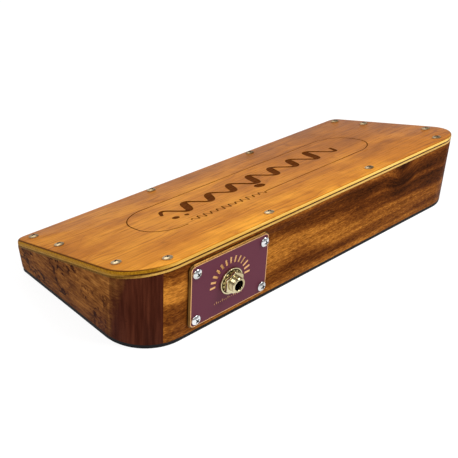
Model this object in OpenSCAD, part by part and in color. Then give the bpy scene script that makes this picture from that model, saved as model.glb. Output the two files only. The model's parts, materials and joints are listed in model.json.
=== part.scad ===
// Wedge-shaped wooden foot percussion box with a jack output.
// Millimetres. The origin is the middle of the rubber mat's underside, +Z is up,
// +X runs along the box, and +Y points from the tall toe side to the low heel side.

/* [Case] */
// Length of the case along X
body_l = 300; // [290:1:330]
// Width of the case from toe side to heel side
body_w = 123; // [118:1:130]
// Height of the toe side, mat included
toe_h = 54.4; // [52:0.2:60]
// Height of the heel side, mat included
heel_h = 19.2; // [19:0.2:22]
// Outline radius of the two toe corners
toe_r = 29; // [24:1:32]
// Outline radius of the two heel corners
heel_r = 6; // [3:0.5:10]
// Lean of the heel side under the top board, in degrees from upright
heel_lean = 14; // [8:1:16]
// Thickness of the two side boards
board_t = 16.5; // [15:0.5:18]
// Thickness of the two end boards
end_t = 19; // [16:0.5:19.5]
// Thickness of the base panel
base_t = 4; // [3:0.5:5]
// Width of the rebate that holds the base panel
rebate_w = 8; // [6:0.5:9]
// Thickness of the rubber mat
mat_t = 2.4; // [2:0.1:3]

/* [Top board] */
// Thickness of the face veneer
veneer_t = 0.6; // [0.4:0.1:1]
// Thickness of the light ply under the veneer
upper_ply_t = 1.6; // [1.4:0.1:2.2]
// Thickness of the dark cross ply
dark_ply_t = 1.1; // [0.8:0.1:1.4]
// Thickness of the light ply at the bottom
lower_ply_t = 1.4; // [1:0.1:1.8]

/* [Screws] */
// Radius of a top screw's head
head_r = 3; // [2.8:0.05:3.6]
// Height of a top screw's head
head_h = 1.4; // [1.2:0.1:2.2]
// Outer thread radius of a top screw
thread_r = 1.75; // [1.5:0.05:1.9]
// Length of a top screw under its head
screw_l = 14; // [12:0.5:15]
// Length of a countersunk base screw
base_screw_l = 11; // [9:0.5:12]

/* [Jack plate] */
// Length of the plate along X
plate_l = 61; // [58:0.5:66]
// Height of the plate
plate_h = 42.5; // [40:0.5:43]
// Thickness of the plate
plate_t = 2; // [1.6:0.1:2.4]
// Corner radius of the plate
plate_r = 4; // [3:0.5:6]
// Place of the jack along X
jack_x = -85; // [-88:1:-80]
// Height of the jack's axis
jack_z = 26.8; // [26:0.1:28]

/* [Jack] */
// Bore radius for a quarter inch plug
bore_r = 3.2; // [3.18:0.01:3.25]
// Outer radius of the threaded bushing
bushing_r = 4.75; // [4.6:0.05:4.9]
// How far the bushing stands out of the board
bushing_out = 9.5; // [8.5:0.1:11]
// Width of the hex nut across its flats
nut_af = 12.7; // [12:0.1:14]
// Outer radius of the cupped washer
washer_r = 8.4; // [8.2:0.1:10]

/* [Sensor] */
// Place of the sensor disc along X
sensor_x = -20; // [-25:1:-15]
// Radius of the brass sensor disc
sensor_r = 13.5; // [13:0.5:14]
// Radius of a wire
wire_r = 0.6; // [0.5:0.05:0.65]

/* [Rattle] */
// Place of the middle jingle pair along X
rattle_x = 72; // [70:1:74]
// Distance between two jingle pairs
jingle_pitch = 34; // [33:0.5:36]
// Radius of a jingle
jingle_r = 12.5; // [10:0.5:13]
// Free height between the two rails
rail_gap = 10; // [9.5:0.5:11]

/* [Hidden] */
$fn = 64;

top_t = veneer_t + upper_ply_t + dark_ply_t + lower_ply_t;
half_l = body_l / 2;
half_w = body_w / 2;
slope = atan((toe_h - heel_h) / body_w);
mid_h = (toe_h + heel_h) / 2;
tall = toe_h + 10;
inner_x = half_l - end_t;
inner_y = half_w - board_t;
base_top = mat_t + base_t;
board_top = heel_h - top_t / cos(slope);
mat_heel_y = half_w - (board_top - mat_t) * tan(heel_lean) - 1;
base_screw_y = inner_y + rebate_w / 2;
base_screw_x = inner_x + rebate_w / 2;

// Places of the top screws, as [x, y] on the plan
toe_row_y = -half_w + 8;
heel_row_y = half_w - 6.5;
end_row_x = half_l - 8.7;
TOP_SCREWS = concat(
    [for (x = [-123, -45.5, 47.5, 123]) [x, toe_row_y]],
    [for (x = [-1, 1], y = [-32.3, 23.8, 52.5]) [x * end_row_x, y]],
    [for (x = [-47, 47]) [x, heel_row_y]]
);
BASE_SCREWS = concat(
    [for (x = [-90, 0, 90], y = [-1, 1]) [x, y * base_screw_y]],
    [for (x = [-1, 1]) [x * base_screw_x, 0]]
);

// Depths in the jack stack, measured outwards from the board's face
washer_t = 0.9;
washer_rim = 1.5;
tooth_t = 0.6;
nut_t = 2.6;
flange_t = 1.5;
frame_t = 1.2;
nut_z = plate_t + washer_t + tooth_t;
cavity_r = 15;
bevel = 1;
lacquer_t = 0.15;
lacquer_inset = bevel + 0.4;
ray_r = 11.2;
ray_l = 4.4;
ray_w = 1.5;
plate_screw_dx = 25.9;
plate_screw_dy = 15.5;
plate_screw_r = 1.4;
plate_head_r = 3.1;

// Heights in the contact stack, measured upwards from the jack's axis
arm_y = 10.8;
leaf_y = 9.5;
leaf_t = 0.5;
stack_front = -3.5;
stack_back = -9.5;
RIVETS = [-5, -8];
rivet_r = 0.8;

// Depths under the top board's face
sensor_t = 0.3;
crystal_r = 10;
crystal_d = top_t + sensor_t;
foam_d = crystal_d + 0.3;

// Heights in the jingle rack
rail_t = 6;
rail_w = 22;
rail_y = -25;
post_w = 6;
pin_r = 1;
rail_l = 3 * jingle_pitch + post_w;
lower_top = base_top + rail_t;
upper_z = lower_top + rail_gap;
JINGLE_X = [for (i = [-1:1]) rattle_x + i * jingle_pitch];
POST_X = [for (i = [-1.5:1:1.5]) rattle_x + i * jingle_pitch];
RAIL_SCREW_X = [POST_X[0], POST_X[3]];
rail_screw_l = 8;
jingle_gap = 0.1;
upper_jingle_z = 5.9;

// Points along the two wires, from the sensor disc to the jack
clip_y = -inner_y + 0.8;
SIGNAL_ROUTE = [
    [-28.8, -1.6, 31.2], [-30, -4, 28.5], [-33, -14, 26.5], [-37, -28, 27], [-41, -38, 28.5],
    [-47, -43.6, 29], [-54, clip_y, 29], [-64, clip_y, 29], [-69, -43.2, 30.5],
    [-73, -43.6, 33], [-75.5, -47, 34.6], [-76.6, -51, 35.6], [-76.8, -54.4, 35.6]
];
GROUND_ROUTE = [
    [-30.5, -6.8, 33], [-32.5, -10, 29.5], [-36, -20, 28.5], [-40, -33, 29.5],
    [-44, -40.5, 30.5], [-49, -43.8, 31], [-55, clip_y, 31], [-64, clip_y, 31],
    [-69, -42.5, 32.5], [-74, -39, 35], [-79, -37.2, 36.9], [-84.4, -37, 36.9]
];
CLIP_X = [-56, -62];

// ---------- shared shapes ----------

// Plan with wide arcs on the toe side, running on past the heel side
module toe_outline() {
    toe_y = -half_w + toe_r;
    translate([-half_l, toe_y]) square([body_l, body_w]);
    translate([-half_l + toe_r, -half_w]) square([body_l - 2 * toe_r, toe_r]);
    for (side = [-1, 1]) translate([side * (half_l - toe_r), toe_y]) circle(toe_r);
}

// Plan with tight arcs on a heel edge at y = 0, running on past the toe side
module heel_outline() {
    translate([-half_l, -2 * body_w]) square([body_l, 2 * body_w - heel_r]);
    translate([-half_l + heel_r, -body_w]) square([body_l - 2 * heel_r, body_w]);
    for (side = [-1, 1]) translate([side * (half_l - heel_r), -heel_r]) circle(heel_r);
}

module outline(heel_y = half_w) {
    intersection() {
        toe_outline();
        translate([0, heel_y]) heel_outline();
    }
}

module rounded_rect(l, w, r) {
    square([l - 2 * r, w], center = true);
    square([l, w - 2 * r], center = true);
    for (x = [-1, 1], y = [-1, 1]) translate([x * (l / 2 - r), y * (w / 2 - r)]) circle(r);
}

// Frame whose XY plane is the sloping top face, above the plan point [x, y]
module on_top(x, y) {
    translate([x, y, mid_h - y * tan(slope)]) rotate([-slope, 0, 0]) children();
}

// Everything between two depths under the sloping top face
module layer(from, to) {
    on_top(0, 0) translate([-body_l, -body_l, -to]) cube([2 * body_l, 2 * body_l, to - from]);
}

// Frame of the jack: +Z points out of the toe side, +Y points up
module at_jack() {
    translate([jack_x, -half_w, jack_z]) rotate([90, 0, 0]) children();
}

module at_plate_screws() {
    at_jack() for (x = [-1, 1], y = [-1, 1])
        translate([x * plate_screw_dx, y * plate_screw_dy, 0]) children();
}

// Ring-shank wood screw pointing down from z = 0, with a small point
module ring_shank(r, l) {
    pitch = 1.2;
    core = r * 0.72;
    rings = floor((l - r - 1) / pitch);
    rotate_extrude() polygon(concat(
        [[0, 0], [core, 0], [core, -0.8]],
        [for (i = [0:rings - 1], p = [[core, 0], [r, 0.6], [core, 1.1]])
            [p[0], -0.8 - i * pitch - p[1]]],
        [[core, -l + r], [0.1, -l], [0, -l]]
    ));
}

// Domed head on z = 0 with a cross recess
module pan_head(r, h) {
    rim = 0.43 * h;
    ball = (r * r + pow(h - rim, 2)) / (2 * (h - rim));
    recess_l = r * 1.05;
    recess_w = r * 0.26;
    difference() {
        intersection() {
            cylinder(r = r, h = h);
            translate([0, 0, h - ball]) sphere(ball, $fn = 96);
        }
        for (a = [0, 90]) rotate(a)
            translate([-recess_l / 2, -recess_w / 2, h * 0.4]) cube([recess_l, recess_w, h]);
    }
}

module pan_screw(r_head, h_head, r_thread, l) {
    pan_head(r_head, h_head);
    ring_shank(r_thread, l);
}

// Countersunk screw that points up, with its head's face on z = 0
module flat_screw(l) {
    difference() {
        cylinder(r1 = 3, r2 = 1.1, h = 1.9);
        for (a = [0, 90]) rotate(a) translate([-1.6, -0.4, -0.1]) cube([3.2, 0.8, 1]);
    }
    rotate([180, 0, 0]) ring_shank(1.5, l);
}

module flat_screw_hole(l) {
    cylinder(r1 = 3, r2 = 1.1, h = 1.9);
    cylinder(r = 1.5, h = l);
}

// ---------- top board ----------

module top_layer(from, to) {
    difference() {
        intersection() {
            linear_extrude(tall) outline();
            layer(from, to);
        }
        for (p = TOP_SCREWS) on_top(p[0], p[1])
            translate([0, 0, -top_t - 2]) cylinder(r = thread_r + 0.15, h = top_t + 4);
    }
}

module face_veneer() {
    color([0.78, 0.47, 0.20]) top_layer(0, veneer_t);
}

module upper_ply() {
    color([0.93, 0.76, 0.38]) top_layer(veneer_t, veneer_t + upper_ply_t);
}

module dark_ply() {
    color([0.36, 0.20, 0.07])
        top_layer(veneer_t + upper_ply_t, veneer_t + upper_ply_t + dark_ply_t);
}

module lower_ply() {
    color([0.92, 0.77, 0.52]) top_layer(top_t - lower_ply_t, top_t);
}

// ---------- case ----------

// Everything inside the leaning heel side
module heel_side_lean() {
    translate([0, half_w, board_top]) rotate([-heel_lean, 0, 0])
        translate([0, 0, -tall]) linear_extrude(2 * tall) heel_outline();
}

// One case board: a rectangle of the plan, cut by the slope, the rebate and the screws
module board(x0, y0, x1, y1) {
    difference() {
        intersection() {
            translate([0, 0, mat_t]) linear_extrude(tall) intersection() {
                toe_outline();
                translate([x0, y0]) square([x1 - x0, y1 - y0]);
            }
            heel_side_lean();
            layer(top_t, 2 * tall);
        }
        base_blank(1);
        for (p = TOP_SCREWS) on_top(p[0], p[1])
            translate([0, 0, -screw_l]) cylinder(r = thread_r, h = screw_l);
        for (p = BASE_SCREWS) translate([p[0], p[1], mat_t]) flat_screw_hole(base_screw_l);
    }
}

// The base panel's volume, drawn lower by the given depth when it is a cutter
module base_blank(below) {
    translate([0, 0, mat_t - below]) linear_extrude(base_t + below)
        rounded_rect(2 * (inner_x + rebate_w), 2 * (inner_y + rebate_w), rebate_w);
}

module toe_side_board() {
    color([0.50, 0.30, 0.08]) difference() {
        board(-inner_x, -half_w, inner_x, -inner_y);
        at_jack() translate([0, 0, -board_t - 1]) cylinder(r = cavity_r, h = board_t + 2);
        at_plate_screws() translate([0, 0, -12 + plate_t])
            cylinder(r = plate_screw_r, h = 12);
    }
}

module heel_side_board() {
    color([0.46, 0.27, 0.09]) board(-inner_x, inner_y, inner_x, half_w);
}

module left_end_board() {
    color([0.42, 0.22, 0.10]) board(-half_l, -half_w, -inner_x, half_w);
}

module right_end_board() {
    color([0.36, 0.18, 0.08]) board(inner_x, -half_w, half_l, half_w);
}

module base_panel() {
    color([0.80, 0.66, 0.45]) difference() {
        base_blank(0);
        for (p = BASE_SCREWS) translate([p[0], p[1], mat_t]) flat_screw_hole(base_screw_l);
        for (x = RAIL_SCREW_X) translate([x, rail_y, mat_t]) flat_screw_hole(rail_screw_l);
    }
}

module rubber_mat() {
    color([0.07, 0.07, 0.07]) linear_extrude(mat_t) outline(mat_heel_y);
}

module top_screws() {
    color([0.80, 0.78, 0.74]) for (p = TOP_SCREWS)
        on_top(p[0], p[1]) pan_screw(head_r, head_h, thread_r, screw_l);
}

module base_screws() {
    color([0.62, 0.62, 0.60]) for (p = BASE_SCREWS)
        translate([p[0], p[1], mat_t]) flat_screw(base_screw_l);
}

// ---------- jack plate ----------

// Rounded slab with a 45 degree bevel of height b round its upper edge
module bevelled_slab(l, w, t, r, b) {
    linear_extrude(t - b) rounded_rect(l, w, r);
    for (turn = [0, 1]) {
        along = turn == 0 ? l - 2 * r : w - 2 * r;
        across = turn == 0 ? w / 2 : l / 2;
        rotate(90 * turn) rotate([90, 0, 90]) translate([0, 0, -along / 2])
            linear_extrude(along) polygon([
                [-across, t - b], [across, t - b], [across - b, t], [-across + b, t]
            ]);
    }
    for (x = [-1, 1], y = [-1, 1]) translate([x * (l / 2 - r), y * (w / 2 - r), t - b])
        cylinder(r1 = r, r2 = r - b, h = b);
}

module lacquer_blank(extra) {
    translate([0, 0, plate_t - lacquer_t]) linear_extrude(lacquer_t + extra)
        rounded_rect(plate_l - 2 * lacquer_inset, plate_h - 2 * lacquer_inset,
            plate_r - lacquer_inset);
}

module plate_holes() {
    translate([0, 0, -1]) cylinder(r = bushing_r + 0.1, h = plate_t + 2);
    for (x = [-1, 1], y = [-1, 1]) translate([x * plate_screw_dx, y * plate_screw_dy, -1])
        cylinder(r = plate_screw_r + 0.2, h = plate_t + 2);
}

module jack_plate() {
    color([0.76, 0.58, 0.24]) at_jack() difference() {
        bevelled_slab(plate_l, plate_h, plate_t, plate_r, bevel);
        lacquer_blank(1);
        plate_holes();
    }
}

// Coloured layer, cut through by a fan of rays above the jack and a row of ticks below it
module plate_lacquer() {
    color([0.36, 0.17, 0.27]) at_jack() difference() {
        lacquer_blank(0);
        plate_holes();
        for (a = [0:15:180]) rotate(a) translate([ray_r, -ray_w / 2, plate_t - 1])
            cube([ray_l, ray_w, 2]);
        for (i = [-7:7]) translate([i * 1.5 - 1.25, -12.4, plate_t - 1])
            cube([0.5, i % 3 == 0 ? 1.8 : 1.1, 2]);
    }
}

module plate_screws() {
    color([0.85, 0.85, 0.86]) at_plate_screws() translate([0, 0, plate_t])
        pan_screw(plate_head_r, 2.2, plate_screw_r, 12);
}

// ---------- jack ----------

module cupped_washer() {
    color([0.72, 0.70, 0.66]) at_jack() translate([0, 0, plate_t]) difference() {
        cylinder(r = washer_r, h = washer_rim);
        translate([0, 0, washer_t]) cylinder(r1 = washer_r - 1.2, r2 = washer_r - 0.5, h = 1);
        translate([0, 0, -1]) cylinder(r = bushing_r + 0.1, h = 4);
    }
}

module tooth_washer() {
    teeth = 16;
    tooth_r = washer_r - 1.4;
    color([0.62, 0.61, 0.58]) at_jack() translate([0, 0, plate_t + washer_t]) difference() {
        cylinder(r = tooth_r, h = tooth_t);
        translate([0, 0, -1]) cylinder(r = bushing_r + 0.1, h = 3);
        for (i = [0:teeth - 1]) rotate(i * 360 / teeth)
            translate([tooth_r - 1.2, -0.55, -1]) cube([2, 1.1, 3]);
    }
}

module jack_nut() {
    corner_r = nut_af / 2 / cos(30);
    color([0.80, 0.77, 0.68]) at_jack() translate([0, 0, nut_z]) difference() {
        intersection() {
            rotate(30) cylinder(r = corner_r, h = nut_t, $fn = 6);
            cylinder(r1 = corner_r + nut_t, r2 = corner_r - 0.5, h = nut_t);
        }
        translate([0, 0, -1]) cylinder(r = bushing_r, h = nut_t + 2);
    }
}

module jack_bushing() {
    pitch = 0.8;
    cut = 0.25;
    first = plate_t + 0.2;
    threads = floor((bushing_out - 0.6 - first) / pitch);
    lead = 0.5;
    color([0.84, 0.80, 0.70]) at_jack() rotate_extrude() polygon(concat(
        [[bore_r, -flange_t - frame_t], [4.2, -flange_t - frame_t], [4.2, -flange_t],
            [7.5, -flange_t], [7.5, 0], [bushing_r, 0], [bushing_r, first]],
        [for (i = [0:threads - 1], p = [[bushing_r - cut, 0.4], [bushing_r, pitch]])
            [p[0], first + i * pitch + p[1]]],
        [[bushing_r, bushing_out - lead], [bushing_r - lead, bushing_out],
            [bore_r + 0.3, bushing_out], [bore_r, bushing_out - 0.3]]
    ));
}

// Bent strip that carries the contact stack and ends in the sleeve's solder tag
module jack_frame() {
    color([0.70, 0.69, 0.66]) at_jack() difference() {
        union() {
            translate([-6, -7.5, -flange_t - frame_t])
                cube([12, arm_y + frame_t + 7.5, frame_t]);
            translate([-4, arm_y, -19]) cube([8, frame_t, 19 - flange_t]);
            translate([-1.5, arm_y, -26]) cube([3, frame_t, 8]);
        }
        translate([0, 0, -5]) cylinder(r = 4.2, h = 5);
        rivet_holes(rivet_r);
        translate([0, arm_y - 1, -22.3]) rotate([-90, 0, 0]) cylinder(r = 0.7, h = 4);
    }
}

module rivet_holes(r) {
    for (z = RIVETS) translate([0, 5, z]) rotate([-90, 0, 0]) cylinder(r = r, h = 12);
}

module stack_slab(y, t) {
    translate([-4, y, stack_back]) cube([8, t, stack_front - stack_back]);
}

module stack_insulators() {
    color([0.42, 0.24, 0.13]) at_jack() difference() {
        union() {
            stack_slab(leaf_y + leaf_t, arm_y - leaf_y - leaf_t);
            stack_slab(leaf_y - 0.8, 0.8);
        }
        rivet_holes(rivet_r);
    }
}

module tip_terminal() {
    color([0.83, 0.80, 0.70]) at_jack() difference() {
        union() {
            stack_slab(leaf_y, leaf_t);
            translate([3, leaf_y, -8]) cube([6.5, leaf_t, 3]);
        }
        rivet_holes(rivet_r + 0.5);
    }
}

// Springy leaf that presses on the plug's tip. Its round root is the axis that it bends about.
module tip_spring() {
    root = -stack_back + 0.2 + leaf_t / 2;
    color([0.80, 0.77, 0.66]) at_jack() rotate([0, 90, 0]) translate([0, 0, -2]) {
        linear_extrude(4) polygon([
            [root, leaf_y], [root, leaf_y + leaf_t], [12.2, leaf_y + leaf_t],
            [17.6, 3.6], [20.2, 5.9], [20.6, 5.5], [17.6, 2.7], [12, leaf_y]
        ]);
        translate([root, leaf_y + leaf_t / 2, 0]) cylinder(r = leaf_t / 2, h = 4);
    }
}

module stack_rivets() {
    low = leaf_y - 0.8;
    high = arm_y + frame_t;
    color([0.72, 0.66, 0.50]) at_jack() for (z = RIVETS)
        translate([0, low, z]) rotate([-90, 0, 0]) {
            translate([0, 0, -0.5]) cylinder(r = 1.4, h = 0.5);
            cylinder(r = rivet_r, h = high - low);
            translate([0, 0, high - low]) cylinder(r = 1.4, h = 0.5);
        }
}

// ---------- sensor ----------

module sensor_disc() {
    color([0.80, 0.63, 0.28]) on_top(sensor_x, 0)
        translate([0, 0, -crystal_d]) cylinder(r = sensor_r, h = sensor_t);
}

module sensor_crystal() {
    color([0.88, 0.86, 0.80]) on_top(sensor_x, 0)
        translate([0, 0, -foam_d]) cylinder(r = crystal_r, h = foam_d - crystal_d);
}

module sensor_foam() {
    color([0.20, 0.20, 0.21]) on_top(sensor_x, 0)
        translate([0, 0, -foam_d - 4]) cylinder(r = 7.5, h = 4);
}

// ---------- wires ----------

function blend(a, b, c, d, t) = 0.5 * (2 * b + (c - a) * t
    + (2 * a - 5 * b + 4 * c - d) * t * t + (3 * b - a - 3 * c + d) * t * t * t);

// Smooth path through the route's points, with a given number of steps in each span
function path(route, steps) = concat(
    [for (i = [0:len(route) - 2], k = [0:steps - 1])
        blend(route[max(i - 1, 0)], route[i], route[i + 1],
            route[min(i + 2, len(route) - 1)], k / steps)],
    [route[len(route) - 1]]
);

function unit(v) = v / norm(v);
function heading(p, i) = unit(p[min(i + 1, len(p) - 1)] - p[max(i - 1, 0)]);
// Two directions square to the path; the wires never run along this fixed vector
function side_of(d) = unit(cross(d, [0.1, 0.2, 1]));

module wire(route) {
    sides = 8;
    p = path(route, 3);
    rings = len(p);
    points = [for (i = [0:rings - 1], k = [0:sides - 1])
        let (d = heading(p, i), u = side_of(d), v = cross(d, u), a = k * 360 / sides)
            p[i] + wire_r * (cos(a) * u + sin(a) * v)];
    skin = [for (i = [0:rings - 2], k = [0:sides - 1])
        let (n = (k + 1) % sides)
            [i * sides + k, i * sides + n, (i + 1) * sides + n, (i + 1) * sides + k]];
    start_cap = [for (k = [sides - 1:-1:0]) k];
    end_cap = [for (k = [0:sides - 1]) (rings - 1) * sides + k];
    polyhedron(points, concat(skin, [start_cap, end_cap]), convexity = 10);
}

module signal_wire() {
    color([0.70, 0.10, 0.08]) wire(SIGNAL_ROUTE);
}

module ground_wire() {
    color([0.08, 0.08, 0.08]) wire(GROUND_ROUTE);
}

module solder_joints() {
    color([0.75, 0.75, 0.74]) {
        on_top(sensor_x, 0) translate([-8.8, 0, -foam_d - 0.9]) cylinder(r = 1.1, h = 0.9);
        on_top(sensor_x, 0) translate([-10.5, -5.5, -crystal_d - 0.9])
            cylinder(r = 1.1, h = 0.9);
        at_jack() translate([8.2, leaf_y - 1.2, -6.5]) rotate([-90, 0, 0])
            cylinder(r = 1.1, h = 1.2);
        at_jack() translate([0, arm_y - 1.2, -24.5]) rotate([-90, 0, 0])
            cylinder(r = 1.1, h = 1.2);
    }
}

// Saddles that hold both wires against the toe side board
module wire_clips() {
    color([0.85, 0.84, 0.80]) for (x = CLIP_X) translate([x, -inner_y, 30])
        rotate([90, 0, 90]) linear_extrude(4, center = true) polygon([
            [0, -5], [1, -5], [1, -2.9], [2.6, -2.9], [2.6, 2.9], [1, 2.9], [1, 5], [0, 5],
            [0, 1.8], [1.6, 1.8], [1.6, -1.8], [0, -1.8]
        ]);
}

// ---------- rattle ----------

module rail(z) {
    translate([rattle_x - rail_l / 2, rail_y - rail_w / 2, z]) cube([rail_l, rail_w, rail_t]);
}

module pin_holes() {
    for (x = JINGLE_X) translate([x, rail_y, base_top + 1]) cylinder(r = pin_r, h = tall);
}

module lower_rail() {
    color([0.82, 0.66, 0.42]) difference() {
        rail(base_top);
        pin_holes();
        for (x = RAIL_SCREW_X) translate([x, rail_y, mat_t]) flat_screw_hole(rail_screw_l);
    }
}

module upper_rail() {
    color([0.82, 0.66, 0.42]) difference() {
        rail(upper_z);
        pin_holes();
    }
}

module rail_posts() {
    color([0.76, 0.60, 0.38]) for (x = POST_X)
        translate([x - post_w / 2, rail_y - rail_w / 2, lower_top])
            cube([post_w, rail_w, rail_gap]);
}

module jingle_pins() {
    top = upper_z + rail_t;
    color([0.70, 0.70, 0.70]) for (x = JINGLE_X) translate([x, rail_y, 0]) {
        translate([0, 0, base_top + 1]) cylinder(r = pin_r, h = top - base_top - 1);
        translate([0, 0, top]) cylinder(r = 2, h = 0.8);
    }
}

module rail_screws() {
    color([0.62, 0.62, 0.60]) for (x = RAIL_SCREW_X)
        translate([x, rail_y, mat_t]) flat_screw(rail_screw_l);
}

// Pressed cymbal: a flat crown round the pin, a cup and a flat rim, 2.8 high
module jingle() {
    t = 0.5;
    rotate_extrude($fn = 96) polygon([
        [1.6, 0], [4, 0], [6.5, 1.6], [7.5, 2], [jingle_r - 0.6, 2.2], [jingle_r, 2.5],
        [jingle_r, 2.8], [jingle_r - 0.8, 2.2 + t], [7.3, 2 + t], [6.1, 1.6 + t], [3.8, t], [1.6, t]
    ]);
}

module lower_jingle(place) {
    color([0.82, 0.66, 0.30]) translate([JINGLE_X[place], rail_y, lower_top + jingle_gap]) jingle();
}

module upper_jingle(place) {
    color([0.82, 0.66, 0.30]) translate([JINGLE_X[place], rail_y, lower_top + upper_jingle_z])
        mirror([0, 0, 1]) jingle();
}

module jingle_left_lower() { lower_jingle(0); }
module jingle_left_upper() { upper_jingle(0); }
module jingle_middle_lower() { lower_jingle(1); }
module jingle_middle_upper() { upper_jingle(1); }
module jingle_right_lower() { lower_jingle(2); }
module jingle_right_upper() { upper_jingle(2); }

face_veneer();
upper_ply();
dark_ply();
lower_ply();
toe_side_board();
heel_side_board();
left_end_board();
right_end_board();
base_panel();
rubber_mat();
top_screws();
base_screws();
jack_plate();
plate_lacquer();
plate_screws();
cupped_washer();
tooth_washer();
jack_nut();
jack_bushing();
jack_frame();
stack_insulators();
tip_terminal();
tip_spring();
stack_rivets();
sensor_disc();
sensor_crystal();
sensor_foam();
signal_wire();
ground_wire();
solder_joints();
wire_clips();
lower_rail();
upper_rail();
rail_posts();
jingle_pins();
rail_screws();
jingle_left_lower();
jingle_left_upper();
jingle_middle_lower();
jingle_middle_upper();
jingle_right_lower();
jingle_right_upper();
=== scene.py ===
"""Looks of the wooden foot percussion box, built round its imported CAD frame.

Metres, in the CAD frame: the origin is under the middle of the rubber mat, +X runs along the
box, and +Y points from the tall toe side, with the jack, to the low heel side.
"""

import json
import math
import random

import bmesh
import bpy
from mathutils import Matrix, Vector
from mathutils.geometry import delaunay_2d_cdt


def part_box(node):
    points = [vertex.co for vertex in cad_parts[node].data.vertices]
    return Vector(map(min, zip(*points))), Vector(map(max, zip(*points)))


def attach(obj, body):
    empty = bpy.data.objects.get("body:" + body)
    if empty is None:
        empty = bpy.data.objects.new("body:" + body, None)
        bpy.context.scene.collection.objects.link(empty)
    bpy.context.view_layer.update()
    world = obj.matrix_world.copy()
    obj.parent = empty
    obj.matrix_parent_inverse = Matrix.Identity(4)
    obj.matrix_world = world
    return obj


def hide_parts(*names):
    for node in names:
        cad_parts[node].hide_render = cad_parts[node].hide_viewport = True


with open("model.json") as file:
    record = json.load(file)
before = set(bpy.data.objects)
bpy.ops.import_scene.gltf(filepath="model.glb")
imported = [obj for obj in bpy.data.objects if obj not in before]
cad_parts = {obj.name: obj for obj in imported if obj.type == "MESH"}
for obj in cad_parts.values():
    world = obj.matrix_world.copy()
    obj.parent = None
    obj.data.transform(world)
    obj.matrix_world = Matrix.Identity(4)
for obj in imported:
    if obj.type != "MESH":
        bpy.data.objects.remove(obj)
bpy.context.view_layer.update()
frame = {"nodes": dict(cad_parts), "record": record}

MM = 0.001
CASE = "case"
scene = bpy.context.scene

# ---------- sizes taken from the frame ----------

MAT_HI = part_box("rubber_mat")[1]
HALF_L = MAT_HI.x
HALF_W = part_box("face_veneer")[1].y
VENEER_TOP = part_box("face_veneer")[1].z
UPPER_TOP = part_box("upper_ply")[1].z
DARK_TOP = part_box("dark_ply")[1].z
VENEER_H = VENEER_TOP - UPPER_TOP
SLOPE_TAN = (VENEER_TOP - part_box("face_veneer")[0].z - VENEER_H) / (2 * HALF_W)
SLOPE = math.atan(SLOPE_TAN)

# Outline radii of the case, as in the CAD part
TOE_R = 29 * MM
HEEL_R = 6 * MM

# Places of the top screws on the plan, as in the CAD part
TOP_SCREWS = (
    [(x * MM, -HALF_W + 8 * MM) for x in (-123, -45.5, 47.5, 123)]
    + [(x * (HALF_L - 8.7 * MM), y * MM) for x in (-1, 1) for y in (-32.3, 23.8, 52.5)]
    + [(x * MM, HALF_W - 6.5 * MM) for x in (-47, 47)]
)


def top_z(y, depth=0.0):
    """Height of the sloping face at y, a vertical depth below it."""
    return VENEER_TOP - (y + HALF_W) * SLOPE_TAN - depth


# ---------- camera ----------

CAMERA_AT = Vector((-0.3698, -0.3474, 0.3030))
CAMERA_AIM = Vector((-0.0510, -0.0260, 0.0300))
CAMERA_ROLL = math.radians(3.04)


def make_camera():
    data = bpy.data.cameras.new("camera")
    data.sensor_width = 36
    data.lens = 67.4
    data.clip_start = 0.01
    camera = bpy.data.objects.new("camera", data)
    scene.collection.objects.link(camera)
    camera.rotation_mode = "QUATERNION"
    camera.location = CAMERA_AT
    look = (CAMERA_AIM - CAMERA_AT).to_track_quat("-Z", "Y")
    camera.rotation_quaternion = look @ Matrix.Rotation(CAMERA_ROLL, 3, "Z").to_quaternion()
    scene.camera = camera


# ---------- node tree helpers ----------


def rgb(r, g, b):
    """Linear colour with alpha from an 8-bit sRGB colour."""

    def linear(c):
        c /= 255
        return c / 12.92 if c <= 0.04045 else ((c + 0.055) / 1.055) ** 2.4

    return (linear(r), linear(g), linear(b), 1.0)


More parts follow.
